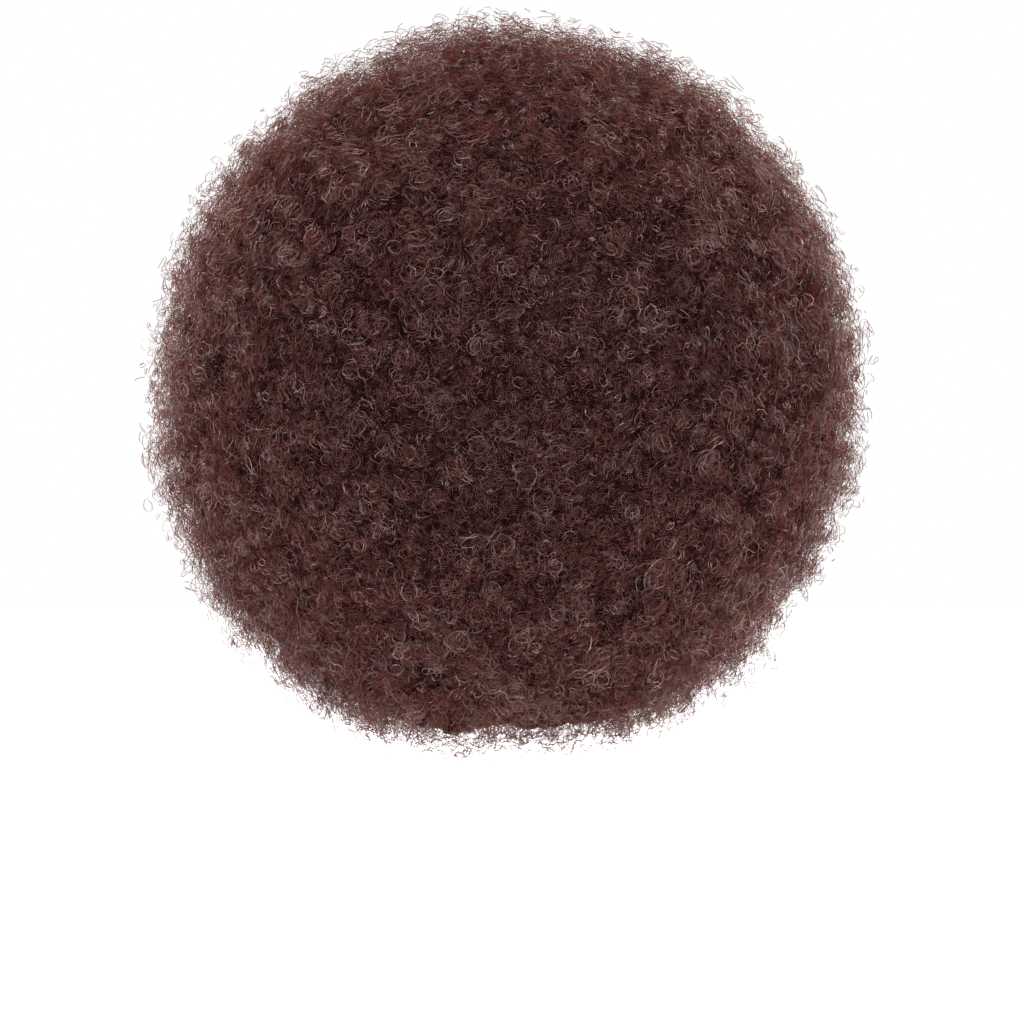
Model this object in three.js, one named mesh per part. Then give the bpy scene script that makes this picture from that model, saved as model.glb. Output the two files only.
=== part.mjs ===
// A large round afro wig: a stretch net cap with an elastic edge band, and the ball of tightly curled hair that it carries.
// Millimetres, +Z up. The origin is the point inside the cap where the top of the head sits.
// The face opening looks along -Y, the nape is at +Y and the wearer's left ear is at +X.

import * as THREE from 'three';
import { mergeVertices } from 'three/addons/utils/BufferGeometryUtils.js';

// Head that the cap is cut for, about 560 mm round at its widest level
const HEAD_WIDTH = 152;
const HEAD_LENGTH = 192;
const HEAD_TOP_RISE = 100; // from the widest level up to the top of the head
const HEAD_LOWER_DROP = 112; // from the widest level down to where the form would close
const HEAD_FULLNESS = 2.25; // 2 is an ellipsoid, and more is squarer

// Neck that the hair hangs round
const NECK_WIDTH = 120;
const NECK_DEPTH = 120;
const NECK_BEHIND = 2; // its axis lies this far behind the head's

// Cap and edge band
const NET_WALL = 1.6;
const BAND_WIDTH = 9;
const BAND_WALL = 1.9;
const SEWN_GAP = 0.3; // between the net's edge and the band
const CAP_STATIONS = 52; // round the head
const CAP_RINGS = 7; // from the crown to the edge

// Edge of the net, seen from the middle of the head: turn is degrees round from the forehead,
// and reach is degrees down from the crown
const CAP_EDGE = [
  { turn: 0, reach: 58 }, // forehead
  { turn: 25, reach: 59 },
  { turn: 46, reach: 69 }, // temple
  { turn: 62, reach: 94 },
  { turn: 72, reach: 103 }, // ear tab
  { turn: 83, reach: 95 },
  { turn: 96, reach: 88 }, // over the ear
  { turn: 114, reach: 100 },
  { turn: 140, reach: 120 }, // behind the ear
  { turn: 180, reach: 127 }, // nape
];

// Ball of hair
const HAIR_WIDTH = 346;
const HAIR_DEPTH = 334;
const HAIR_RISE = 182; // from the ball's middle up to its top
const HAIR_DROP = 193; // from the middle down to where the ball would close
const HAIR_FULLNESS = 2.05;
const HAIR_OVER_CROWN = 91; // from the top of the head to the top of the ball
const HAIR_BEHIND = 24; // the ball's middle lies this far behind the head's
const HAIR_CLEARANCE = 0.9; // between the band and the roots

// Opening for the face and neck, seen from the middle of the ball
const OPENING_TILT = 40.5; // degrees forwards from straight down
const OPENING_HALF_LENGTH = 57.5; // degrees, towards the forehead and the nape
const OPENING_HALF_WIDTH = 32; // degrees, towards the cheeks
const OPENING_SQUARENESS = 2.5;
const HEM_BULGE = 6; // degrees that the hem's middle stands into the opening

// Locks: rounded tufts of curls all over the ball
const LOCK_SPACING = 36;
const LOCK_HEIGHT = 10;
const SWELL_HEIGHT = 3.5; // the ball is fullest at mid height, a little more so on the right
const SWELL_LENGTH = 370;
const SWELL_SLANT = 0.08;
const BALL_DETAIL = 20; // each face of the icosahedron is cut into this many strips, plus one

// Share of the way from the crown pole, in degrees of the plain sphere, at which the hair's surface turns
const OUTSIDE_ENDS = 120;
const INSIDE_BEGINS = 144;

const RADIANS = Math.PI / 180;
const headMiddle = new THREE.Vector3(0, 0, -HEAD_TOP_RISE);
const ballMiddle = new THREE.Vector3(0, HAIR_BEHIND, HAIR_OVER_CROWN - HAIR_RISE);
const openingAxis = new THREE.Vector3(0, -Math.sin(OPENING_TILT * RADIANS), -Math.cos(OPENING_TILT * RADIANS));

// Size of a point as a share of a rounded box form: 1 on its surface
function formShare(x, y, z, fullness) {
  const sum = Math.abs(x) ** fullness + Math.abs(y) ** fullness + Math.abs(z) ** fullness;
  return sum ** (1 / fullness);
}

// How deep a point lies in the head form, grown by lift: under 1 inside, 1 on the surface
function headShare(point, lift) {
  const z = point.z - headMiddle.z;
  const rise = z > 0 ? HEAD_TOP_RISE : HEAD_LOWER_DROP;
  return formShare(
    (point.x - headMiddle.x) / (HEAD_WIDTH / 2 + lift),
    (point.y - headMiddle.y) / (HEAD_LENGTH / 2 + lift),
    z / (rise + lift),
    HEAD_FULLNESS,
  );
}

// The same for the neck, an upright oval column below the head's widest level
function neckShare(point, lift) {
  if (point.z > headMiddle.z) return Infinity;
  return formShare(point.x / (NECK_WIDTH / 2 + lift), (point.y - NECK_BEHIND) / (NECK_DEPTH / 2 + lift), 0, 2);
}

// Distance from start, along a direction, to where the share passes 1
function distanceOut(start, direction, share, furthest) {
  let near = 0;
  let far = furthest;
  const point = new THREE.Vector3();
  for (let step = 0; step < 40; step++) {
    const middle = (near + far) / 2;
    point.copy(start).addScaledVector(direction, middle);
    if (share(point) < 1) near = middle;
    else far = middle;
  }
  return near;
}

// Point on the head form, grown by lift, in a direction from the head's middle
function onHead(direction, lift) {
  const far = HEAD_LENGTH + HEAD_LOWER_DROP;
  const distance = distanceOut(headMiddle, direction, (point) => headShare(point, lift), far);
  return headMiddle.clone().addScaledVector(direction, distance);
}

// Smooth value of a table's column at a turn from 0 to 180 degrees, level at both ends
function fromTable(rows, column, turn) {
  const above = Math.max(1, rows.findIndex((row) => row.turn >= turn));
  const at = (i) => rows[Math.abs(i) < rows.length ? Math.abs(i) : 2 * rows.length - 2 - i];
  const from = rows[above - 1];
  const to = rows[above];
  const slope = (i) => {
    if (i === 0 || i === rows.length - 1) return 0;
    return (at(i + 1)[column] - at(i - 1)[column]) / (at(i + 1).turn - at(i - 1).turn);
  };
  const span = to.turn - from.turn;
  const t = (turn - from.turn) / span;
  const hermite = [2 * t ** 3 - 3 * t ** 2 + 1, t ** 3 - 2 * t ** 2 + t, -2 * t ** 3 + 3 * t ** 2, t ** 3 - t ** 2];
  return hermite[0] * from[column] + hermite[1] * span * slope(above - 1)
    + hermite[2] * to[column] + hermite[3] * span * slope(above);
}

// Direction from the head's middle: turn is degrees round from the forehead, reach is degrees down from the crown
function headDirection(turn, reach) {
  const round = turn * RADIANS;
  const down = reach * RADIANS;
  return new THREE.Vector3(Math.sin(down) * Math.sin(round), -Math.sin(down) * Math.cos(round), Math.cos(down));
}

// Degrees down from the crown to the net's edge, alike on both sides
function netEdge(turn) {
  return fromTable(CAP_EDGE, 'reach', turn > 180 ? 360 - turn : turn);
}

// Closed mesh from points and triangles
function solid(points, triangles) {
  const geometry = new THREE.BufferGeometry();
  geometry.setAttribute('position', new THREE.Float32BufferAttribute(points.flatMap((p) => p.toArray()), 3));
  geometry.setIndex(triangles);
  geometry.computeVertexNormals();
  return geometry;
}

// Two triangles for the four corners a, b, c, d, taken in turn
const facet = (a, b, c, d) => [a, b, c, a, c, d];

// Net cap: the head form from the crown to the edge, with a wall
function netCap() {
  const points = [];
  const triangles = [];
  for (const lift of [NET_WALL, 0]) {
    points.push(onHead(new THREE.Vector3(0, 0, 1), lift));
    for (let ring = 1; ring <= CAP_RINGS; ring++) {
      for (let station = 0; station < CAP_STATIONS; station++) {
        const turn = (360 * station) / CAP_STATIONS;
        points.push(onHead(headDirection(turn, (netEdge(turn) * ring) / CAP_RINGS), lift));
      }
    }
  }
  const layer = 1 + CAP_RINGS * CAP_STATIONS;
  const place = (side, ring, station) => side * layer + 1 + (ring - 1) * CAP_STATIONS + (station % CAP_STATIONS);
  for (let station = 0; station < CAP_STATIONS; station++) {
    const next = station + 1;
    triangles.push(0, place(0, 1, station), place(0, 1, next));
    triangles.push(layer, place(1, 1, next), place(1, 1, station));
    for (let ring = 1; ring < CAP_RINGS; ring++) {
      const below = ring + 1;
      triangles.push(...facet(
        place(0, ring, station), place(0, below, station), place(0, below, next), place(0, ring, next),
      ));
      triangles.push(...facet(
        place(1, ring, next), place(1, below, next), place(1, below, station), place(1, ring, station),
      ));
    }
    triangles.push(...facet(
      place(0, CAP_RINGS, station), place(1, CAP_RINGS, station),
      place(1, CAP_RINGS, next), place(0, CAP_RINGS, next),
    ));
  }
  return solid(points, triangles);
}

// Edge band: a flat elastic, rounded on its long edges, that follows the net's edge with a sewn gap
function edgeBand() {
  const section = [
    { across: 0, lift: 0.2 },
    { across: 0, lift: 0.8 },
    { across: 0.2, lift: 1 },
    { across: 0.8, lift: 1 },
    { across: 1, lift: 0.8 },
    { across: 1, lift: 0.2 },
    { across: 0.8, lift: 0 },
    { across: 0.2, lift: 0 },
  ]; // shares of the band's width and wall
  const edge = [];
  for (let station = 0; station < CAP_STATIONS; station++) {
    const turn = (360 * station) / CAP_STATIONS;
    edge.push(onHead(headDirection(turn, netEdge(turn)), 0));
  }
  const points = [];
  const triangles = [];
  for (let station = 0; station < CAP_STATIONS; station++) {
    const here = edge[station];
    const along = edge[(station + 1) % CAP_STATIONS].clone()
      .sub(edge[(station + CAP_STATIONS - 1) % CAP_STATIONS]).normalize();
    const outwards = here.clone().sub(headMiddle).normalize();
    const away = outwards.clone().cross(along).normalize();
    for (const corner of section) {
      const beside = here.clone().addScaledVector(away, -(SEWN_GAP + corner.across * BAND_WIDTH));
      const direction = beside.sub(headMiddle).normalize();
      points.push(onHead(direction, corner.lift * BAND_WALL));
    }
  }
  for (let station = 0; station < CAP_STATIONS; station++) {
    const next = ((station + 1) % CAP_STATIONS) * section.length;
    for (let corner = 0; corner < section.length; corner++) {
      const here = station * section.length;
      const after = (corner + 1) % section.length;
      triangles.push(...facet(here + corner, here + after, next + after, next + corner));
    }
  }
  return solid(points, triangles);
}

// Outside of the ball of hair, before the locks: distance from its middle in a direction
function ballRadius(direction) {
  const rise = direction.z > 0 ? HAIR_RISE : HAIR_DROP;
  return 1 / formShare(
    direction.x / (HAIR_WIDTH / 2), direction.y / (HAIR_DEPTH / 2), direction.z / rise, HAIR_FULLNESS,
  );
}

// Inside of the hair: it clears the band on the head, and hangs round the neck
function rootRadius(direction) {
  const lift = BAND_WALL + HAIR_CLEARANCE;
  const head = distanceOut(ballMiddle, direction, (point) => headShare(point, lift), HAIR_DROP);
  if (direction.z > -0.2) return head;
  const neck = distanceOut(ballMiddle, direction, (point) => neckShare(point, lift), HAIR_DROP);
  return Math.max(head, Math.min(neck, 0.8 * ballRadius(direction)));
}

// Degrees from the opening's axis to the hem, at an angle round that axis
function openingEdge(round) {
  const length = Math.abs(Math.cos(round)) / Math.sin(OPENING_HALF_LENGTH * RADIANS);
  const width = Math.abs(Math.sin(round)) / Math.sin(OPENING_HALF_WIDTH * RADIANS);
  return Math.asin(Math.min(1, 1 / formShare(length, width, 0, OPENING_SQUARENESS)));
}

// Repeatable random numbers from 0 to 1
function* dice(seed) {
  let state = seed;
  for (;;) {
    state = (state * 1664525 + 1013904223) % 4294967296;
    yield state / 4294967296;
  }
}

// Middles of the locks: a spiral of evenly spread directions, each moved a little
function lockMiddles() {
  const radius = (HAIR_WIDTH + HAIR_DEPTH + HAIR_RISE + HAIR_DROP) / 6;
  const count = Math.round((4 * Math.PI * radius ** 2) / LOCK_SPACING ** 2);
  const golden = Math.PI * (3 - Math.sqrt(5));
  const roll = dice(7);
  const wander = 0.3 * LOCK_SPACING / radius;
  const next = () => roll.next().value;
  return Array.from({ length: count }, (_, i) => {
    const z = 1 - (2 * i + 1) / count;
    const flat = Math.sqrt(1 - z * z);
    const middle = new THREE.Vector3(flat * Math.cos(golden * i), flat * Math.sin(golden * i), z);
    middle.add(new THREE.Vector3(next() - 0.5, next() - 0.5, next() - 0.5).multiplyScalar(2 * wander)).normalize();
    return { middle: middle.multiplyScalar(radius), height: 0.55 + 0.45 * next() };
  });
}

// Height of the locks and the swell over the plain ball at a point on it
function lockHeight(point, locks) {
  const radius = locks[0].middle.length();
  const spot = point.clone().sub(ballMiddle).setLength(radius);
  let rise = 0;
  for (const lock of locks) {
    const share = spot.distanceTo(lock.middle) / (0.72 * LOCK_SPACING);
    if (share < 1) rise = Math.max(rise, lock.height * (1 - share ** 2));
  }
  const swell = Math.cos((2 * Math.PI * (spot.z + SWELL_SLANT * spot.x)) / SWELL_LENGTH);
  return LOCK_HEIGHT * (rise - 0.5) + SWELL_HEIGHT * swell;
}

// Ball of hair: a sphere whose lower pole is pushed up inside it, so that it has an outside, a rounded hem
// round the opening, and an inside that follows the head and neck
function hairBall() {
  const plain = new THREE.IcosahedronGeometry(1, BALL_DETAIL);
  plain.deleteAttribute('normal');
  plain.deleteAttribute('uv');
  const sphere = mergeVertices(plain, 1e-5);
  const upwards = openingAxis.clone().negate();
  const sideways = new THREE.Vector3(1, 0, 0);
  const forwards = sideways.clone().cross(upwards);
  const count = sphere.attributes.position.count;
  const points = [];
  const locksStrength = [];
  for (let i = 0; i < count; i++) {
    const unit = new THREE.Vector3().fromBufferAttribute(sphere.attributes.position, i).normalize();
    const fromPole = Math.acos(THREE.MathUtils.clamp(unit.z, -1, 1)) / RADIANS;
    const round = Math.atan2(unit.y, unit.x);
    const rim = Math.PI - openingEdge(round);
    const hem = THREE.MathUtils.clamp((fromPole - OUTSIDE_ENDS) / (INSIDE_BEGINS - OUTSIDE_ENDS), 0, 1);
    let polar = rim + HEM_BULGE * RADIANS * Math.sin(Math.PI * hem) ** 0.8;
    if (hem === 0) polar = (rim * fromPole) / OUTSIDE_ENDS;
    if (hem === 1) polar = (rim * (180 - fromPole)) / (180 - INSIDE_BEGINS);
    const direction = new THREE.Vector3()
      .addScaledVector(upwards, Math.cos(polar))
      .addScaledVector(forwards, Math.sin(polar) * Math.cos(round))
      .addScaledVector(sideways, Math.sin(polar) * Math.sin(round));
    const outside = ballRadius(direction);
    const inside = rootRadius(direction);
    const turn = Math.cos(Math.PI * hem);
    const depth = (1 - Math.sign(turn) * Math.abs(turn) ** 0.8) / 2;
    points.push(ballMiddle.clone().addScaledVector(direction, THREE.MathUtils.lerp(outside, inside, depth)));
    locksStrength.push(1 - THREE.MathUtils.smoothstep(hem, 0.05, 0.7));
  }
  const smooth = solid(points, Array.from(sphere.index.array));
  const locks = lockMiddles();
  const lifted = points.map((point, i) => {
    if (locksStrength[i] === 0) return point;
    const normal = new THREE.Vector3().fromBufferAttribute(smooth.attributes.normal, i);
    return point.clone().addScaledVector(normal, locksStrength[i] * lockHeight(point, locks));
  });
  return solid(lifted, Array.from(sphere.index.array));
}

function piece(name, geometry, colour, roughness) {
  const material = new THREE.MeshStandardMaterial({ color: colour, roughness, metalness: 0 });
  const mesh = new THREE.Mesh(geometry, material);
  mesh.name = name;
  return mesh;
}

const wig = new THREE.Group();
wig.add(piece('cap_net', netCap(), 0x1c1716, 0.85));
wig.add(piece('edge_band', edgeBand(), 0x171313, 0.9));
wig.add(piece('hair', hairBall(), 0x4a2f2c, 0.7));

export default wig;
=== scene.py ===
# A large round afro wig of tightly curled synthetic hair on a stretch net cap, held up as by a head.

import math

import bpy
import numpy as np
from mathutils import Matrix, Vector
from mathutils.bvhtree import BVHTree
from mathutils.kdtree import KDTree


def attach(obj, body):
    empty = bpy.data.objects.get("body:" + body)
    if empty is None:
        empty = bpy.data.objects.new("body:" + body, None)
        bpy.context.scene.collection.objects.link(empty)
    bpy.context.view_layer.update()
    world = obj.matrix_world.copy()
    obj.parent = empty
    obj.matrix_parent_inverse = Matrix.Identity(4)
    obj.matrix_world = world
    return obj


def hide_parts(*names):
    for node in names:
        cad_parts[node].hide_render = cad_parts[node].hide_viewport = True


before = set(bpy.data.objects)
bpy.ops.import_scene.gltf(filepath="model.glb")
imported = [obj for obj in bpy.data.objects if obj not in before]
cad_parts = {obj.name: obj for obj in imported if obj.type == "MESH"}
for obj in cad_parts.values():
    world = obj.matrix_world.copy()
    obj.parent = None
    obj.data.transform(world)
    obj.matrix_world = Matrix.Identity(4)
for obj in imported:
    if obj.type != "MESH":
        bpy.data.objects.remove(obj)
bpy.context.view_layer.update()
scene = bpy.context.scene

# Camera
# It stands level behind the wig, so that the ball fills the frame a little above its middle.
# One pixel is 0.515 mm at the middle of the ball.

BALL_MIDDLE = Vector((0, 0.024, -0.091))
PIXEL = 0.515e-3
CAMERA_DISTANCE = 1.4
BALL_RIGHT_OF_CENTRE = -5 * PIXEL
BALL_OVER_CENTRE = 126 * PIXEL

eye = bpy.data.cameras.new("camera")
eye.sensor_width = 36
eye.lens = 36 * CAMERA_DISTANCE / (1024 * PIXEL)
camera = bpy.data.objects.new("camera", eye)
camera.location = (
    BALL_RIGHT_OF_CENTRE,
    BALL_MIDDLE.y + CAMERA_DISTANCE,
    BALL_MIDDLE.z - BALL_OVER_CENTRE,
)
camera.rotation_euler = (math.radians(90), 0, math.radians(180))
scene.collection.objects.link(camera)
scene.camera = camera


# Studio
# White paper under the wig, in a white room, as for a catalogue picture.
# Soft boxes on the camera's side, above and on the face's side give the strands their highlights.


def linear(hex_colour):
    parts = [int(hex_colour[i : i + 2], 16) / 255 for i in (1, 3, 5)]
    return (*(p / 12.92 if p <= 0.04045 else ((p + 0.055) / 1.055) ** 2.4 for p in parts), 1)


def add(tree, kind, inputs=None, **settings):
    node = tree.nodes.new(kind)
    for name, value in settings.items():
        setattr(node, name, value)
    for name, value in (inputs or {}).items():
        if isinstance(value, bpy.types.NodeSocket):
            tree.links.new(value, node.inputs[name])
        else:
            node.inputs[name].default_value = value
    return node


def material(name):
    made = bpy.data.materials.new(name)
    made.use_nodes = True
    made.node_tree.nodes.clear()
    return made, made.node_tree


def finish_material(tree, surface):
    add(tree, "ShaderNodeOutputMaterial", {"Surface": surface})


def piece(name, mesh):
    made = bpy.data.objects.new(name, mesh)
    scene.collection.objects.link(made)
    return made


scene.view_settings.view_transform = "Standard"

room = bpy.data.worlds.new("white_room")
room.use_nodes = True
room_tree = room.node_tree
room_tree.nodes.clear()
path = add(room_tree, "ShaderNodeLightPath")
room_light = add(
    room_tree,
    "ShaderNodeMapRange",
    {"Value": path.outputs["Is Camera Ray"], "To Min": 0.7, "To Max": 1.0},
)
white_wall = add(
    room_tree,
    "ShaderNodeBackground",
    {"Color": linear("#ffffff"), "Strength": room_light.outputs[0]},
)
add(room_tree, "ShaderNodeOutputWorld", {"Surface": white_wall.outputs[0]})
scene.world = room

FLOOR_HEIGHT = -0.42
floor_mesh = bpy.data.meshes.new("paper_floor")
floor_mesh.from_pydata(
    [(x, y, FLOOR_HEIGHT) for x in (-6, 6) for y in (-6, 6)], [], [(0, 2, 3, 1)]
)
floor = piece("paper_floor", floor_mesh)
paper, paper_tree = material("lit_white_paper")
paper_surface = add(
    paper_tree,
    "ShaderNodeBsdfPrincipled",
    {
        "Base Color": linear("#f4f4f4"),
        "Roughness": 0.9,
        "Emission Color": linear("#ffffff"),
        "Emission Strength": 0.6,
    },
)
finish_material(paper_tree, paper_surface.outputs[0])
floor_mesh.materials.append(paper)

# Each row gives a place and a side in metres, and a power in watts.
for name, place, size, power in (
    ("soft_box_left", (0.9, 1.5, 0.7), 0.9, 24),
    ("soft_box_right", (-1.0, 1.4, 0.5), 0.9, 19),
    ("soft_box_over_crown", (0.1, -0.2, 1.5), 1.0, 24),
    ("soft_box_front_left", (0.8, -1.5, 0.5), 0.9, 28),
    ("soft_box_front_right", (-0.9, -1.4, 0.3), 0.9, 23),
):
    lamp = bpy.data.lights.new(name, "AREA")
    lamp.size = size
    lamp.energy = power
    box = bpy.data.objects.new(name, lamp)
    box.location = place
    box.rotation_euler = (BALL_MIDDLE - Vector(place)).to_track_quat("-Z", "Y").to_euler()
    scene.collection.objects.link(box)


# Cap net
# The stretch net that sits on the head, knitted from dark nylon. The hair is machined to tapes, the wefts,
# and these are sewn on the net in level rows, so that its inside shows rows with open net between them.

# The attribute down is the way from the net's top along its curve, and spread_flat lays it out flat.
HEAD_MIDDLE = Vector((0, 0, -0.1))
HEAD_RADIUS = 0.1
WEFT_ROWS = 0.012
MESH_OPENING = 0.0034
STITCHES_ROUND = 180


def merged_copy(node, name):
    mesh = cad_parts[node].data.copy()
    mesh.name = name
    made = piece(name, mesh)
    weld = made.modifiers.new("weld", "WELD")
    weld.merge_threshold = 1e-5
    return made


def applied(made):
    graph = bpy.context.evaluated_depsgraph_get()
    mesh = bpy.data.meshes.new_from_object(made.evaluated_get(graph))
    made.modifiers.clear()
    made.data = mesh
    return mesh


net_cloth = merged_copy("cap_net", "net_cloth")
net_smooth = net_cloth.modifiers.new("smooth", "SUBSURF")
net_smooth.levels = net_smooth.render_levels = 1
net_mesh = applied(net_cloth)
net_mesh.materials.clear()
down = []
spread_flat = []
for vertex in net_mesh.vertices:
    off_axis = math.hypot(vertex.co.x, vertex.co.y)
    down.append(HEAD_RADIUS * math.atan2(off_axis, vertex.co.z - HEAD_MIDDLE.z))
    stretch = down[-1] / max(off_axis, 1e-6)
    spread_flat += (vertex.co.x * stretch, vertex.co.y * stretch, 0)
net_mesh.attributes.new("down", "FLOAT", "POINT").data.foreach_set("value", down)
net_mesh.attributes.new("spread_flat", "FLOAT_VECTOR", "POINT").data.foreach_set("vector", spread_flat)
net_mesh.shade_smooth()

# Knitted nylon net, drawn as open meshes 3.4 mm wide, which is coarser than the real one so that it shows.
# The weft tapes run across it, closed and of one even brown, with a lighter sewn line along their middle.
net, net_tree = material("knitted_nylon_net")
net_place = add(net_tree, "ShaderNodeTexCoord").outputs["Object"]
net_flat = add(net_tree, "ShaderNodeAttribute", attribute_name="spread_flat")
meshes = add(
    net_tree,
    "ShaderNodeTexVoronoi",
    {"Vector": net_flat.outputs["Vector"], "Scale": 1 / MESH_OPENING, "Randomness": 0.45},
    feature="DISTANCE_TO_EDGE",
    voronoi_dimensions="2D",
)
thread = add(
    net_tree,
    "ShaderNodeMapRange",
    {"Value": meshes.outputs["Distance"], "From Min": 0.07, "From Max": 0.16, "To Min": 1.0, "To Max": 0.0},
    interpolation_type="SMOOTHSTEP",
)
net_down = add(net_tree, "ShaderNodeAttribute", attribute_name="down")
row = add(
    net_tree,
    "ShaderNodeMath",
    {0: net_down.outputs["Fac"], 1: 0.5 * WEFT_ROWS},
    operation="PINGPONG",
)
tape = add(
    net_tree,
    "ShaderNodeMapRange",
    {"Value": row.outputs[0], "From Min": 0.0014, "From Max": 0.002, "To Min": 1.0, "To Max": 0.0},
    interpolation_type="SMOOTHSTEP",
)
split_place = add(net_tree, "ShaderNodeSeparateXYZ", {0: net_place})
turn = add(
    net_tree, "ShaderNodeMath", {0: split_place.outputs[0], 1: split_place.outputs[1]}, operation="ARCTAN2"
)
stitch_wave = add(
    net_tree, "ShaderNodeMath", {0: turn.outputs[0], 1: STITCHES_ROUND}, operation="MULTIPLY"
)
stitch_sine = add(net_tree, "ShaderNodeMath", {0: stitch_wave.outputs[0]}, operation="SINE")
sewn_line = add(
    net_tree,
    "ShaderNodeMapRange",
    {"Value": row.outputs[0], "From Min": 0.0003, "From Max": 0.0007, "To Min": 1.0, "To Max": 0.0},
)
stitches = add(
    net_tree,
    "ShaderNodeMath",
    {0: stitch_sine.outputs[0], 1: sewn_line.outputs[0]},
    operation="MULTIPLY",
    use_clamp=True,
)
thread_colour = add(
    net_tree,
    "ShaderNodeMix",
    {0: thread.outputs[0], 6: linear("#1c1010"), 7: linear("#5c3f3a")},
    data_type="RGBA",
)
tape_colour = add(
    net_tree,
    "ShaderNodeMix",
    {0: stitches.outputs[0], 6: linear("#38211d"), 7: linear("#7e5a51")},
    data_type="RGBA",
)
net_colour = add(
    net_tree,
    "ShaderNodeMix",
    {0: tape.outputs[0], 6: thread_colour.outputs[2], 7: tape_colour.outputs[2]},
    data_type="RGBA",
)
raised = add(
    net_tree, "ShaderNodeMath", {0: thread.outputs[0], 1: 0.5, 2: tape.outputs[0]}, operation="MULTIPLY_ADD"
)
raised_stitches = add(
    net_tree,
    "ShaderNodeMath",
    {0: stitches.outputs[0], 1: 0.4, 2: raised.outputs[0]},
    operation="MULTIPLY_ADD",
)
net_bump = add(
    net_tree, "ShaderNodeBump", {"Height": raised_stitches.outputs[0], "Distance": 0.0008, "Strength": 0.9}
)
net_surface = add(
    net_tree,
    "ShaderNodeBsdfPrincipled",
    {
        "Base Color": net_colour.outputs[2],
        "Roughness": 0.65,
        "Specular IOR Level": 0.35,
        "Sheen Weight": 0.1,
        "Sheen Roughness": 0.4,
        "Sheen Tint": linear("#8a6a60"),
        "Normal": net_bump.outputs[0],
    },
)
finish_material(net_tree, net_surface.outputs[0])
net_mesh.materials.append(net)
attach(net_cloth, "root")
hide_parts("cap_net")


# Edge band
# A soft knitted elastic, 9 mm wide, that is sewn round the edge of the net and holds it to the head.
# Its rubber cords run along it as ribs, and a zigzag seam in paler thread fixes it.

RIB_PITCH = 0.0015
SEAM_FROM_EDGE = 0.0032
SEAM_SWING = 0.0012
ZIGZAGS_ROUND = 110
KNITS_PER_METRE = 1100

elastic = merged_copy("edge_band", "edge_elastic")
elastic_smooth = elastic.modifiers.new("smooth", "SUBSURF")
elastic_smooth.levels = elastic_smooth.render_levels = 1
elastic_mesh = applied(elastic)
elastic_mesh.materials.clear()
net_shape = BVHTree.FromPolygons([v.co for v in net_mesh.vertices], [f.vertices for f in net_mesh.polygons])
across = [net_shape.find_nearest(v.co)[3] for v in elastic_mesh.vertices]
elastic_mesh.attributes.new("across", "FLOAT", "POINT").data.foreach_set("value", across)
elastic_mesh.shade_smooth()

# Covered elastic: polyester yarn knitted over rubber cords, matt, drawn with one rib every 1.5 mm.
band, band_tree = material("knitted_elastic")
band_place = add(band_tree, "ShaderNodeTexCoord").outputs["Object"]
band_across = add(band_tree, "ShaderNodeAttribute", attribute_name="across")
rib_turn = add(
    band_tree,
    "ShaderNodeMath",
    {0: band_across.outputs["Fac"], 1: 2 * math.pi / RIB_PITCH},
    operation="MULTIPLY",
)
ribs = add(band_tree, "ShaderNodeMath", {0: rib_turn.outputs[0]}, operation="SINE")
knit = add(
    band_tree,
    "ShaderNodeTexVoronoi",
    {"Vector": band_place, "Scale": KNITS_PER_METRE, "Randomness": 0.6},
)
band_split = add(band_tree, "ShaderNodeSeparateXYZ", {0: band_place})
band_turn = add(
    band_tree, "ShaderNodeMath", {0: band_split.outputs[0], 1: band_split.outputs[1]}, operation="ARCTAN2"
)
zigzag = add(
    band_tree,
    "ShaderNodeMath",
    {0: band_turn.outputs[0], 1: math.pi / ZIGZAGS_ROUND},
    operation="PINGPONG",
)
swing = add(
    band_tree,
    "ShaderNodeMath",
    {
        0: zigzag.outputs[0],
        1: SEAM_SWING * ZIGZAGS_ROUND / math.pi,
        2: SEAM_FROM_EDGE - SEAM_SWING / 2,
    },
    operation="MULTIPLY_ADD",
)
off_seam = add(
    band_tree,
    "ShaderNodeMath",
    {0: band_across.outputs["Fac"], 1: swing.outputs[0]},
    operation="SUBTRACT",
)
off_seam_size = add(band_tree, "ShaderNodeMath", {0: off_seam.outputs[0]}, operation="ABSOLUTE")
seam = add(
    band_tree,
    "ShaderNodeMapRange",
    {"Value": off_seam_size.outputs[0], "From Min": 0.0002, "From Max": 0.0004, "To Min": 1.0, "To Max": 0.0},
    interpolation_type="SMOOTHSTEP",
)
rib_share = add(
    band_tree, "ShaderNodeMapRange", {"Value": ribs.outputs[0], "From Min": -1.0, "From Max": 1.0}
)
# The grooves between the ribs are painted darker than their crests: painted shade in the grooves.
rib_colour_with_painted_groove_shade = add(
    band_tree,
    "ShaderNodeMix",
    {0: rib_share.outputs[0], 6: linear("#1b0f0f"), 7: linear("#472f2b")},
    data_type="RGBA",
)
band_colour = add(
    band_tree,
    "ShaderNodeMix",
    {0: seam.outputs[0], 6: rib_colour_with_painted_groove_shade.outputs[2], 7: linear("#8c685e")},
    data_type="RGBA",
)
knitted = add(
    band_tree,
    "ShaderNodeMath",
    {0: knit.outputs["Distance"], 1: -0.4, 2: rib_share.outputs[0]},
    operation="MULTIPLY_ADD",
)
band_height = add(
    band_tree, "ShaderNodeMath", {0: knitted.outputs[0], 1: seam.outputs[0]}, operation="MAXIMUM"
)
band_bump = add(
    band_tree, "ShaderNodeBump", {"Height": band_height.outputs[0], "Distance": 0.0005, "Strength": 0.8}
)
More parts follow.
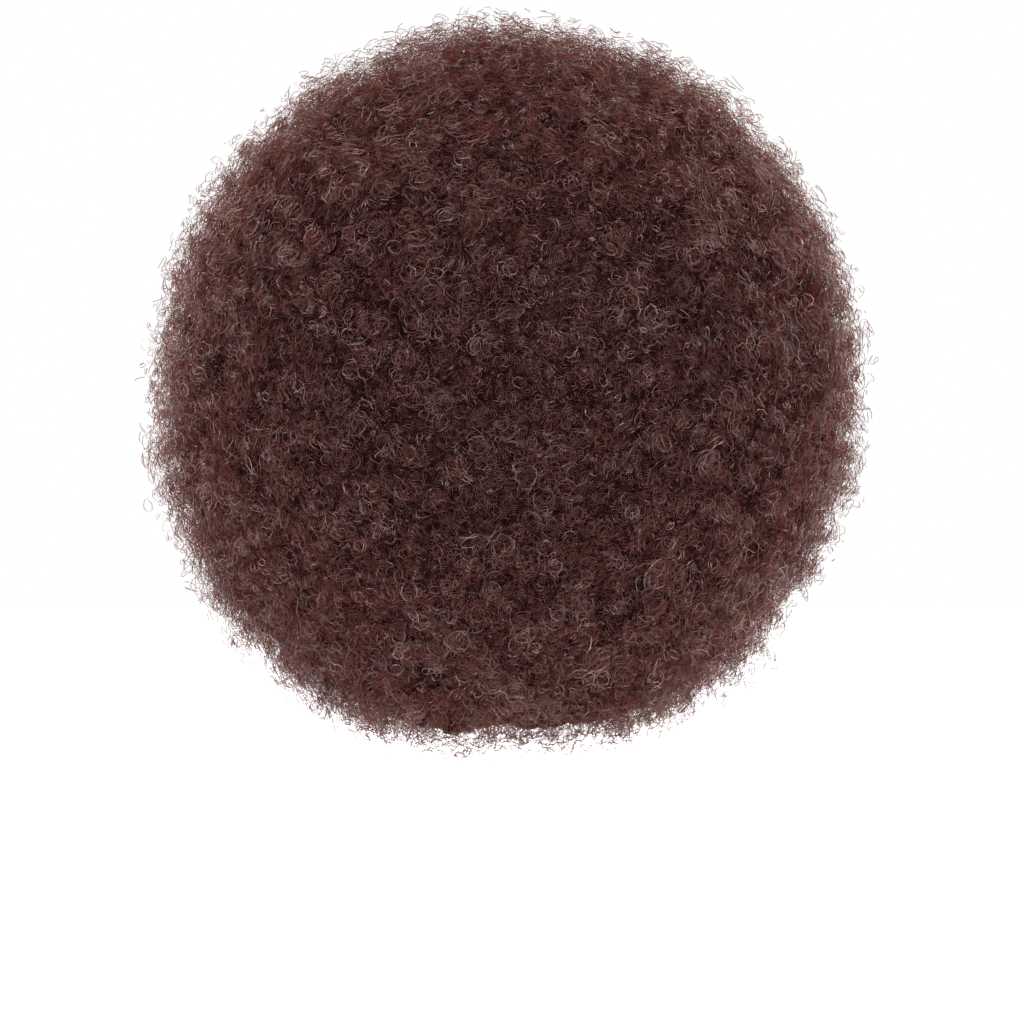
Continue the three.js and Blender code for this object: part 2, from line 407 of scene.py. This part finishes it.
band_surface = add(
    band_tree,
    "ShaderNodeBsdfPrincipled",
    {
        "Base Color": band_colour.outputs[2],
        "Roughness": 0.8,
        "Specular IOR Level": 0.35,
        "Sheen Weight": 0.15,
        "Sheen Roughness": 0.5,
        "Sheen Tint": linear("#8a6a60"),
        "Normal": band_bump.outputs[0],
    },
)
finish_material(band_tree, band_surface.outputs[0])
elastic_mesh.materials.append(band)
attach(elastic, "root")
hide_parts("edge_band")


# Hair mass
# The dense inner part of the ball, where thousands of curls lie too close together to be told apart.
# It lies some millimetres inside the outline, in tufts, so that the single curls stand out of it.

# The attribute cover says how densely tufts stand. It is less on the inner side, and zero against the cap.
# The attribute second adds tufts at the rim of the opening and on the underside, where the mass is drawn in.

BALL_HALF = Vector((0.173, 0.167, 0.184))
HEAD_HALF = Vector((0.076, 0.096, 0.1))
MASS_INSET = 0.0095
TUFT_HEIGHT = 0.0035
HEM_INSET = 0.003
UNDERSIDE_INSET = 0.005
UNDERSIDE_SHARE = 0.12
TUFT_SPACING = 0.0128


def form_share(offset, half, fullness):
    total = sum(abs(v / h) ** fullness for v, h in zip(offset, half))
    return total ** (1 / fullness)


def read_vectors(mesh, field, key):
    values = np.empty(len(mesh.vertices) * 3, np.float32)
    getattr(mesh, field).foreach_get(key, values)
    return values.reshape(-1, 3)


def tree_inputs(tree, rows):
    made = {}
    for name, kind, value in rows:
        made[name] = tree.interface.new_socket(name=name, in_out="INPUT", socket_type=kind)
        if value is not None:
            made[name].default_value = value
    tree.interface.new_socket(name="Geometry", in_out="OUTPUT", socket_type="NodeSocketGeometry")
    return made


hair_mass = merged_copy("hair", "hair_mass")
smooth = hair_mass.modifiers.new("smooth", "SUBSURF")
smooth.levels = smooth.render_levels = 1
mass_mesh = applied(hair_mass)
mass_mesh.materials.clear()

places = read_vectors(mass_mesh, "vertices", "co")
outwards = read_vectors(mass_mesh, "vertex_normals", "vector")
cover = np.zeros(len(places), np.float32)
clear_of_cap = np.zeros(len(places), np.float32)
hem = np.zeros(len(places), np.float32)
downward = np.zeros(len(places), np.float32)
second = np.zeros(len(places), np.float32)
for i, place in enumerate(places):
    share = form_share(Vector(place) - BALL_MIDDLE, BALL_HALF, 2.05)
    from_head = form_share(Vector(place) - HEAD_MIDDLE, HEAD_HALF, 2.25)
    clear_of_cap[i] = min(1, max(0, (from_head - 1.1) / 0.15))
    cover[i] = clear_of_cap[i] * min(1, max(0.25, (share - 0.62) / 0.15))
    rising = Vector(outwards[i]).dot((Vector(place) - BALL_MIDDLE).normalized())
    hem[i] = min(1, max(0, (0.8 - rising) / 0.4)) * min(1, max(0, (share - 0.7) / 0.1))
    downward[i] = min(1, max(0, (-outwards[i][2] - 0.4) / 0.4)) * min(1, max(0, (share - 0.8) / 0.1))
    second[i] = max(hem[i], UNDERSIDE_SHARE * downward[i])
mass_mesh.attributes.new("cover", "FLOAT", "POINT").data.foreach_set("value", cover)
mass_mesh.attributes.new("second", "FLOAT", "POINT").data.foreach_set("value", second)

tuft_tree = bpy.data.node_groups.new("tuft_tops", "GeometryNodeTree")
tuft_inputs = tree_inputs(
    tuft_tree,
    (
        ("Geometry", "NodeSocketGeometry", None),
        ("Spacing", "NodeSocketFloat", TUFT_SPACING),
        ("Seed", "NodeSocketInt", 3),
    ),
)
given = add(tuft_tree, "NodeGroupInput").outputs
all_tops = add(tuft_tree, "GeometryNodeJoinGeometry")
for where_dense, seed_step in (("cover", 0), ("second", 1)):
    here_share = add(
        tuft_tree, "GeometryNodeInputNamedAttribute", {"Name": where_dense}, data_type="FLOAT"
    )
    own_seed = add(tuft_tree, "ShaderNodeMath", {0: given["Seed"], 1: seed_step}, operation="ADD")
    tops = add(
        tuft_tree,
        "GeometryNodeDistributePointsOnFaces",
        {
            "Mesh": given["Geometry"],
            "Distance Min": given["Spacing"],
            "Density Max": 40000.0,
            "Density Factor": here_share.outputs[0],
            "Seed": own_seed.outputs[0],
        },
        distribute_method="POISSON",
    )
    facing_out = add(
        tuft_tree,
        "GeometryNodeStoreNamedAttribute",
        {"Geometry": tops.outputs["Points"], "Name": "out", "Value": tops.outputs["Normal"]},
        data_type="FLOAT_VECTOR",
        domain="POINT",
    )
    tuft_tree.links.new(facing_out.outputs[0], all_tops.inputs[0])
as_vertices = add(tuft_tree, "GeometryNodePointsToVertices", {0: all_tops.outputs[0]})
add(tuft_tree, "NodeGroupOutput", {0: as_vertices.outputs[0]})

tuft_tops = hair_mass.copy()
scene.collection.objects.link(tuft_tops)
spread = tuft_tops.modifiers.new("spread", "NODES")
spread.node_group = tuft_tree
spread[tuft_inputs["Seed"].identifier] = 3
tuft_mesh = applied(tuft_tops)
bpy.data.objects.remove(tuft_tops)

nearest = KDTree(len(tuft_mesh.vertices))
for i, top in enumerate(tuft_mesh.vertices):
    nearest.insert(top.co, i)
nearest.balance()
height = np.zeros(len(places), np.float32)
# On the underside each point is drawn in by its own amount, so that the lower edge is ragged.
ragged = np.random.default_rng(11).random(len(places))
for i, place in enumerate(places):
    far = nearest.find(place)[2] / TUFT_SPACING
    height[i] = max(0, 1 - far**2) if far < 1 else 0
    push = TUFT_HEIGHT * (height[i] - 1) - (MASS_INSET - TUFT_HEIGHT)
    push -= HEM_INSET * hem[i] + UNDERSIDE_INSET * ragged[i] * downward[i]
    places[i] += outwards[i] * push * clear_of_cap[i]
mass_mesh.vertices.foreach_set("co", places.ravel())
mass_mesh.attributes.new("tuft", "FLOAT", "POINT").data.foreach_set("value", height)
mass_mesh.shade_smooth()

# Crimped polyester hair fibre, dyed dark brown. The single fibre, 0.08 mm thick, is too fine to show,
# so strands of a few fibres each are drawn, as rings round the middle of each curl.
packed, packed_tree = material("packed_crimped_hair")
where = add(packed_tree, "ShaderNodeTexCoord").outputs["Object"]
waver = add(packed_tree, "ShaderNodeTexNoise", {"Vector": where, "Scale": 110, "Detail": 3})
wavering = add(
    packed_tree,
    "ShaderNodeVectorMath",
    {0: waver.outputs["Color"], 1: (0.005, 0.005, 0.005), 2: where},
    operation="MULTIPLY_ADD",
)
fine = add(packed_tree, "ShaderNodeTexNoise", {"Vector": where, "Scale": 900, "Detail": 1})
rings = []
for cell, pitch, shift, strength in (
    (0.0125, 0.00095, 0.0, 1.0),
    (0.0090, 0.00080, 0.0173, 0.85),
    (0.0170, 0.00110, 0.0391, 0.7),
    (0.0110, 0.00070, 0.0577, 0.6),
):
    shifted = add(
        packed_tree,
        "ShaderNodeVectorMath",
        {0: wavering.outputs[0], 1: (shift, 0.7 * shift, 1.3 * shift)},
        operation="ADD",
    )
    cells = add(
        packed_tree, "ShaderNodeTexVoronoi", {"Vector": shifted.outputs[0], "Scale": 1 / cell}
    )
    stepped = add(
        packed_tree,
        "ShaderNodeMath",
        {0: cells.outputs["Distance"], 1: 2 * math.pi * cell / pitch, 2: 0.0},
        operation="MULTIPLY_ADD",
    )
    uneven = add(
        packed_tree,
        "ShaderNodeMath",
        {0: fine.outputs[0], 1: 3.5, 2: stepped.outputs[0]},
        operation="MULTIPLY_ADD",
    )
    wave = add(packed_tree, "ShaderNodeMath", {0: uneven.outputs[0]}, operation="SINE")
    line = add(
        packed_tree,
        "ShaderNodeMapRange",
        {"Value": wave.outputs[0], "From Min": 0.5, "From Max": 1.0},
        interpolation_type="SMOOTHSTEP",
    )
    patches = add(
        packed_tree,
        "ShaderNodeTexNoise",
        {"Vector": shifted.outputs[0], "Scale": 330, "Detail": 1},
    )
    broken = add(
        packed_tree,
        "ShaderNodeMapRange",
        {"Value": patches.outputs[0], "From Min": 0.38, "From Max": 0.66, "To Max": strength},
    )
    rings.append(
        add(
            packed_tree,
            "ShaderNodeMath",
            {0: line.outputs[0], 1: broken.outputs[0]},
            operation="MULTIPLY",
        )
    )
strands = rings[0]
for ring in rings[1:]:
    strands = add(
        packed_tree, "ShaderNodeMath", {0: strands.outputs[0], 1: ring.outputs[0]}, operation="MAXIMUM"
    )
# The ground between the drawn strands is near black: partly the dark brown dye, partly painted shade deep
# between the strands.
strands_on_painted_gap_shade = add(packed_tree, "ShaderNodeValToRGB", {"Fac": strands.outputs[0]})
strands_on_painted_gap_shade.color_ramp.elements[0].color = linear("#0f0607")
strands_on_painted_gap_shade.color_ramp.elements[1].color = linear("#6e534e")
middle_stop = strands_on_painted_gap_shade.color_ramp.elements.new(0.45)
middle_stop.color = linear("#2c1718")
# The valleys between tufts are painted darker, down to 0.7 of the colour at their bottom: painted shade.
tuft = add(packed_tree, "ShaderNodeAttribute", attribute_name="tuft")
painted_valley_shade = add(
    packed_tree,
    "ShaderNodeMapRange",
    {"Value": tuft.outputs["Fac"], "From Min": 0.2, "From Max": 0.9, "To Min": 0.7, "To Max": 1.0},
)
shaded_colour = add(
    packed_tree,
    "ShaderNodeVectorMath",
    {0: strands_on_painted_gap_shade.outputs["Color"], "Scale": painted_valley_shade.outputs[0]},
    operation="SCALE",
)
packed_bump = add(
    packed_tree,
    "ShaderNodeBump",
    {"Height": strands.outputs[0], "Distance": 0.0005, "Strength": 0.7},
)
packed_surface = add(
    packed_tree,
    "ShaderNodeBsdfPrincipled",
    {
        "Base Color": shaded_colour.outputs[0],
        "Roughness": 0.7,
        "Specular IOR Level": 0.0,
        "Sheen Weight": 0.5,
        "Sheen Roughness": 0.3,
        "Sheen Tint": linear("#a85c4c"),
        "Normal": packed_bump.outputs[0],
    },
)
finish_material(packed_tree, packed_surface.outputs[0])
mass_mesh.materials.append(packed)
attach(hair_mass, "root")
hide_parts("hair")


# Curls
# Single strands of hair, each set in a coil by heat. On each tuft some rings lie on one axis,
# as a rosette, with looser arcs between the tufts and out to the tips.

STRAND_WIDTH = 0.0003
CURVE_SAG = 0.0003

# A crimped polyester strand: a dyed, slightly glossy fibre that lets some light through, lighter at its tip.
# The map's first number grows from the root outwards to the tip, and also with how far out its coil lies, so
# that deep coils take the darker root colours as painted shade; the second is the strand's own tone.
strand, strand_tree = material("crimped_hair_strand")
along_and_tone = add(strand_tree, "ShaderNodeUVMap", uv_map="OFBake")
split = add(strand_tree, "ShaderNodeSeparateXYZ", {0: along_and_tone.outputs[0]})
root_and_painted_depth_tone = add(strand_tree, "ShaderNodeValToRGB", {"Fac": split.outputs[1]})
tip_tone = add(strand_tree, "ShaderNodeValToRGB", {"Fac": split.outputs[1]})
for ramp, first, last, between in (
    (root_and_painted_depth_tone, "#130b0b", "#64534f", ((0.25, "#1d1212"), (0.5, "#2a1d1c"), (0.75, "#3a2b29"))),
    (tip_tone, "#35201d", "#947c77", ((0.25, "#482d2a"), (0.5, "#573b38"), (0.75, "#70514c"))),
):
    ramp.color_ramp.elements[0].color = linear(first)
    ramp.color_ramp.elements[1].color = linear(last)
    for position, colour in between:
        stop = ramp.color_ramp.elements.new(position)
        stop.color = linear(colour)
strand_colour = add(
    strand_tree,
    "ShaderNodeMix",
    {0: split.outputs[0], 6: root_and_painted_depth_tone.outputs["Color"], 7: tip_tone.outputs["Color"]},
    data_type="RGBA",
)
strand_surface = add(
    strand_tree,
    "ShaderNodeBsdfPrincipled",
    {"Base Color": strand_colour.outputs[2], "Roughness": 0.26, "Specular IOR Level": 0.65},
)
through = add(strand_tree, "ShaderNodeBsdfTranslucent", {"Color": linear("#8c4435")})
strand_mix = add(
    strand_tree,
    "ShaderNodeMixShader",
    {0: 0.25, 1: strand_surface.outputs[0], 2: through.outputs[0]},
)
finish_material(strand_tree, strand_mix.outputs[0])

curl_tree = bpy.data.node_groups.new("curls", "GeometryNodeTree")
curl_inputs = tree_inputs(
    curl_tree,
    (
        ("Geometry", "NodeSocketGeometry", None),
        ("Rings on a tuft", "NodeSocketInt", 14),
        ("Loose arcs by a tuft", "NodeSocketInt", 31),
        ("Smallest radius", "NodeSocketFloat", 0.0014),
        ("Largest radius", "NodeSocketFloat", 0.0058),
        ("Strand width", "NodeSocketFloat", STRAND_WIDTH),
        ("Curve sag", "NodeSocketFloat", CURVE_SAG),
        ("Seed", "NodeSocketInt", 1),
    ),
)
given = add(curl_tree, "NodeGroupInput").outputs


def random_value(kind, low, high, seed_step):
    first = {"FLOAT_VECTOR": 0, "FLOAT": 2, "INT": 4}[kind]
    seed = add(curl_tree, "ShaderNodeMath", {0: given["Seed"], 1: seed_step}, operation="ADD")
    node = add(
        curl_tree,
        "FunctionNodeRandomValue",
        {first: low, first + 1: high, "Seed": seed.outputs[0]},
        data_type=kind,
    )
    return node.outputs[first // 2]


def store(geometry, name, value, kind, domain="POINT"):
    return add(
        curl_tree,
        "GeometryNodeStoreNamedAttribute",
        {"Geometry": geometry, "Name": name, "Value": value},
        data_type=kind,
        domain=domain,
    ).outputs[0]


def stored(name, kind):
    return add(
        curl_tree, "GeometryNodeInputNamedAttribute", {"Name": name}, data_type=kind
    ).outputs[0]


tufts = add(curl_tree, "GeometryNodeMeshToPoints", {"Mesh": given["Geometry"]}).outputs[0]
tuft_axis = add(
    curl_tree,
    "ShaderNodeVectorMath",
    {0: stored("facing", "FLOAT_VECTOR"), 1: random_value("FLOAT_VECTOR", (-0.42,) * 3, (0.42,) * 3, 1)},
    operation="ADD",
)
tufts = store(tufts, "axis", tuft_axis.outputs[0], "FLOAT_VECTOR")
tufts = store(tufts, "tuft_tone", random_value("FLOAT", 0.0, 1.0, 2), "FLOAT")
tufts = store(tufts, "tuft_size", random_value("FLOAT", 0.7, 1.35, 3), "FLOAT")
# Each pair is a number of turns and the height that the coil gains in radii.
RING_TURNS = ((0.8, 0.3), (1.05, 0.4), (1.3, 0.5))
ARC_TURNS = ((0.7, 0.3), (0.95, 0.5), (1.25, 0.8))
# Each row gives how much the coils lean, how far they lie aside, their lowest and highest place along the
# outward line, how they thin out outwards, their share of the radius, their turns and their seeds' step.
planted = []
for amount, lean, aside, low, high, thinning_out, size_share, turns, step in (
    ("Rings on a tuft", 0.35, 0.003, -0.006, 0.0005, 1.0, 1.0, RING_TURNS, 10),
    ("Loose arcs by a tuft", 1.0, 0.009, -0.0075, 0.0025, 1.2, 0.8, ARC_TURNS, 20),
):
    many = add(
        curl_tree,
        "GeometryNodeDuplicateElements",
        {"Geometry": tufts, "Amount": given[amount]},
        domain="POINT",
    ).outputs[0]
    own_axis = add(
        curl_tree,
        "ShaderNodeVectorMath",
        {
            0: stored("axis", "FLOAT_VECTOR"),
            1: random_value("FLOAT_VECTOR", (-lean,) * 3, (lean,) * 3, step),
        },
        operation="ADD",
    )
    thrown = add(
        curl_tree,
        "ShaderNodeMath",
        {0: random_value("FLOAT", 0.0, 1.0, step + 1), 1: thinning_out},
        operation="POWER",
    )
    own_rise = add(
        curl_tree, "ShaderNodeMapRange", {"Value": thrown.outputs[0], "To Min": low, "To Max": high}
    )
    many = store(many, "rise", own_rise.outputs["Result"], "FLOAT")
    lifted = add(
        curl_tree,
        "ShaderNodeVectorMath",
        {0: stored("out", "FLOAT_VECTOR"), "Scale": stored("rise", "FLOAT")},
        operation="SCALE",
    )
    moved = add(
        curl_tree,
        "ShaderNodeVectorMath",
        {
            0: lifted.outputs[0],
            1: random_value("FLOAT_VECTOR", (-aside,) * 3, (aside,) * 3, step + 2),
        },
        operation="ADD",
    )
    rooted = add(
        curl_tree, "GeometryNodeSetPosition", {"Geometry": many, "Offset": moved.outputs[0]}
    )
    facing = add(
        curl_tree,
        "FunctionNodeAlignRotationToVector",
        {"Vector": own_axis.outputs[0]},
        axis="Z",
    )
    spin = add(
        curl_tree,
        "FunctionNodeAxisAngleToRotation",
        {"Axis": (0, 0, 1), "Angle": random_value("FLOAT", 0.0, 6.283, step + 3)},
    )
    turned = add(
        curl_tree,
        "FunctionNodeRotateRotation",
        {0: facing.outputs[0], 1: spin.outputs[0]},
        rotation_space="LOCAL",
    )
    coils = add(curl_tree, "GeometryNodeJoinGeometry")
    for turn, rise in turns:
        coil = add(
            curl_tree,
            "GeometryNodeCurveSpiral",
            {
                "Resolution": 24,
                "Rotations": turn,
                "Start Radius": 1.0,
                "End Radius": 0.75,
                "Height": rise,
            },
        )
        one = add(curl_tree, "GeometryNodeGeometryToInstance", {0: coil.outputs[0]})
        curl_tree.links.new(one.outputs[0], coils.inputs[0])
    radius = add(
        curl_tree,
        "ShaderNodeMapRange",
        {
            "Value": random_value("FLOAT", 0.0, 1.0, step + 4),
            "To Min": given["Smallest radius"],
            "To Max": given["Largest radius"],
        },
    )
    shared_radius = add(
        curl_tree,
        "ShaderNodeMath",
        {0: radius.outputs["Result"], 1: stored("tuft_size", "FLOAT")},
        operation="MULTIPLY",
    )
    own_radius = add(
        curl_tree, "ShaderNodeMath", {0: shared_radius.outputs[0], 1: size_share}, operation="MULTIPLY"
    )
    sized = store(rooted.outputs[0], "coil_radius", own_radius.outputs[0], "FLOAT")
    planted.append(
        add(
            curl_tree,
            "GeometryNodeInstanceOnPoints",
            {
                "Points": sized,
                "Instance": coils.outputs[0],
                "Pick Instance": True,
                "Instance Index": random_value("INT", 0, 2, step + 5),
                "Rotation": turned.outputs[0],
                "Scale": stored("coil_radius", "FLOAT"),
            },
        )
    )
all_coils = add(curl_tree, "GeometryNodeJoinGeometry")
for one in planted:
    curl_tree.links.new(one.outputs[0], all_coils.inputs[0])
real = add(curl_tree, "GeometryNodeRealizeInstances", {0: all_coils.outputs[0]})
# A piece of a coil is as long as keeps its middle within the sag of the true curve.
eight_sags = add(curl_tree, "ShaderNodeMath", {0: given["Curve sag"], 1: 8.0}, operation="MULTIPLY")
squared = add(
    curl_tree,
    "ShaderNodeMath",
    {0: stored("coil_radius", "FLOAT"), 1: eight_sags.outputs[0]},
    operation="MULTIPLY",
)
piece_length = add(curl_tree, "ShaderNodeMath", {0: squared.outputs[0]}, operation="SQRT")
whole_length = add(curl_tree, "GeometryNodeSplineLength")
pieces = add(
    curl_tree,
    "ShaderNodeMath",
    {0: whole_length.outputs["Length"], 1: piece_length.outputs[0]},
    operation="DIVIDE",
)
enough = add(curl_tree, "ShaderNodeMath", {0: pieces.outputs[0], 1: 1.5}, operation="ADD")
evened = add(
    curl_tree,
    "GeometryNodeResampleCurve",
    {"Curve": real.outputs[0], "Count": enough.outputs[0]},
)
spot = add(curl_tree, "GeometryNodeInputPosition")
crimp = add(curl_tree, "ShaderNodeTexNoise", {"Vector": spot.outputs[0], "Scale": 130.0, "Detail": 0.0})
crimp_offset = add(
    curl_tree,
    "ShaderNodeVectorMath",
    {0: crimp.outputs["Color"], 1: (0.0022,) * 3, 2: (-0.0011,) * 3},
    operation="MULTIPLY_ADD",
)
crimped = add(
    curl_tree,
    "GeometryNodeSetPosition",
    {"Geometry": evened.outputs[0], "Offset": crimp_offset.outputs[0]},
)
own_tone = add(
    curl_tree,
    "ShaderNodeMix",
    {0: 0.75, 2: stored("tuft_tone", "FLOAT"), 3: random_value("FLOAT", 0.0, 1.0, 31)},
    data_type="FLOAT",
)
marked = store(crimped.outputs[0], "tone", own_tone.outputs[0], "FLOAT", "CURVE")
along = add(curl_tree, "GeometryNodeSplineParameter")
# Coils that lie deeper take more of the darker root colour: painted shade of the hair's depth, on top of the
# real lighter tips.
outerness_against_painted_depth_shade = add(
    curl_tree,
    "ShaderNodeMapRange",
    {"Value": stored("rise", "FLOAT"), "From Min": -0.008, "From Max": 0.0025, "To Max": 0.7},
)
tip_share_and_painted_depth_shade = add(
    curl_tree,
    "ShaderNodeMath",
    {0: along.outputs["Factor"], 1: 0.3, 2: outerness_against_painted_depth_shade.outputs[0]},
    operation="MULTIPLY_ADD",
)
marked = store(marked, "along", tip_share_and_painted_depth_shade.outputs[0], "FLOAT")
own_width = random_value("FLOAT", 0.65, 1.3, 32)
marked = store(marked, "fine", own_width, "FLOAT", "CURVE")
thinning = add(
    curl_tree,
    "ShaderNodeMapRange",
    {
        "Value": along.outputs["Factor"],
        "To Min": stored("fine", "FLOAT"),
        "To Max": 0.45,
    },
)
thinned = add(
    curl_tree, "GeometryNodeSetCurveRadius", {0: marked, "Radius": thinning.outputs["Result"]}
)
# A strand is a thin ribbon that stands on its edge, so that it looks fine from outside and dense at the rim.
strand_turn = random_value("FLOAT_VECTOR", (-0.75,) * 3, (0.75,) * 3, 33)
marked = store(thinned.outputs[0], "own_turn", strand_turn, "FLOAT_VECTOR", "CURVE")
wander = add(curl_tree, "ShaderNodeTexNoise", {"Vector": spot.outputs[0], "Scale": 90.0, "Detail": 0.0})
wander_turn = add(
    curl_tree,
    "ShaderNodeVectorMath",
    {0: wander.outputs["Color"], 1: (1.2,) * 3, 2: (-0.6,) * 3},
    operation="MULTIPLY_ADD",
)
both_turns = add(
    curl_tree,
    "ShaderNodeVectorMath",
    {0: wander_turn.outputs[0], 1: stored("own_turn", "FLOAT_VECTOR")},
    operation="ADD",
)
edge_out = add(
    curl_tree,
    "ShaderNodeVectorMath",
    {0: both_turns.outputs[0], 1: stored("out", "FLOAT_VECTOR")},
    operation="ADD",
)
course = add(curl_tree, "GeometryNodeInputTangent")
lengthwise = add(
    curl_tree,
    "ShaderNodeVectorMath",
    {0: edge_out.outputs[0], 1: course.outputs[0]},
    operation="PROJECT",
)
squared_off = add(
    curl_tree,
    "ShaderNodeVectorMath",
    {0: edge_out.outputs[0], 1: lengthwise.outputs[0]},
    operation="SUBTRACT",
)
twisted = add(
    curl_tree,
    "GeometryNodeSetCurveNormal",
    {"Curve": marked, "Normal": squared_off.outputs[0]},
    mode="FREE",
)
half_width = add(
    curl_tree, "ShaderNodeMath", {0: given["Strand width"], 1: 0.5}, operation="MULTIPLY"
)
left_edge = add(curl_tree, "ShaderNodeCombineXYZ", {0: half_width.outputs[0]})
right_edge = add(
    curl_tree, "ShaderNodeVectorMath", {0: left_edge.outputs[0], "Scale": -1.0}, operation="SCALE"
)
section = add(
    curl_tree,
    "GeometryNodeCurvePrimitiveLine",
    {"Start": left_edge.outputs[0], "End": right_edge.outputs[0]},
    mode="POINTS",
)
around = add(curl_tree, "GeometryNodeSplineParameter")
section_marked = store(section.outputs[0], "around", around.outputs["Factor"], "FLOAT")
ribbons = add(
    curl_tree,
    "GeometryNodeCurveToMesh",
    {"Curve": twisted.outputs[0], "Profile Curve": section_marked},
)
tone_row = add(
    curl_tree,
    "ShaderNodeMath",
    {0: stored("around", "FLOAT"), 1: 0.01, 2: stored("tone", "FLOAT")},
    operation="MULTIPLY_ADD",
)
chart = add(curl_tree, "ShaderNodeCombineXYZ", {0: stored("along", "FLOAT"), 1: tone_row.outputs[0]})
mapped = store(ribbons.outputs[0], "OFBake", chart.outputs[0], "FLOAT2", "CORNER")
rounded = add(curl_tree, "GeometryNodeSetShadeSmooth", {0: mapped, "Shade Smooth": True})
all_real = add(curl_tree, "GeometryNodeRealizeInstances", {0: rounded.outputs[0]})
dyed = add(curl_tree, "GeometryNodeSetMaterial", {"Geometry": all_real.outputs[0], "Material": strand})
add(curl_tree, "NodeGroupOutput", {0: dyed.outputs[0]})

SPARE_ATTRIBUTES = (
    "tone along around axis out facing tuft_tone tuft_size rise fine own_turn coil_radius".split()
)
top_places = read_vectors(tuft_mesh, "vertices", "co")
top_directions = (top_places - np.array(BALL_MIDDLE)) / np.array(BALL_HALF)
top_axes = np.argmax(np.abs(top_directions), axis=1)
top_sides = top_directions[np.arange(len(top_axes)), top_axes] > 0
top_out = np.empty(len(top_places) * 3, np.float32)
tuft_mesh.attributes["out"].data.foreach_get("vector", top_out)
top_out = top_out.reshape(-1, 3)
# On the underside the curls hang and show their rings to the side, so there they face level.
low_share = np.clip((-top_out[:, 2:] - 0.3) / 0.4, 0, 1)
level_out = (top_places - np.array(BALL_MIDDLE)) * (1, 1, 0)
level_out /= np.linalg.norm(level_out, axis=1, keepdims=True) + 1e-6
top_facing = top_out * (1 - low_share) + level_out * low_share
for number, name in enumerate(("right_side", "left_side", "front", "back", "under", "crown")):
    here = 2 * top_axes + top_sides == number
    seeds = bpy.data.meshes.new("tufts_" + name)
    seeds.from_pydata(top_places[here], [], [])
    for direction, values in (("out", top_out), ("facing", top_facing)):
        own = seeds.attributes.new(direction, "FLOAT_VECTOR", "POINT")
        own.data.foreach_set("vector", np.ascontiguousarray(values[here], np.float32).ravel())
    curls = piece("curls_" + name, seeds)
    grow = curls.modifiers.new("grow", "NODES")
    grow.node_group = curl_tree
    grow[curl_inputs["Seed"].identifier] = 100 * number + 5
    grown = applied(curls)
    for spare in [a.name for a in grown.attributes if a.name in SPARE_ATTRIBUTES]:
        grown.attributes.remove(grown.attributes[spare])
    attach(curls, "root")
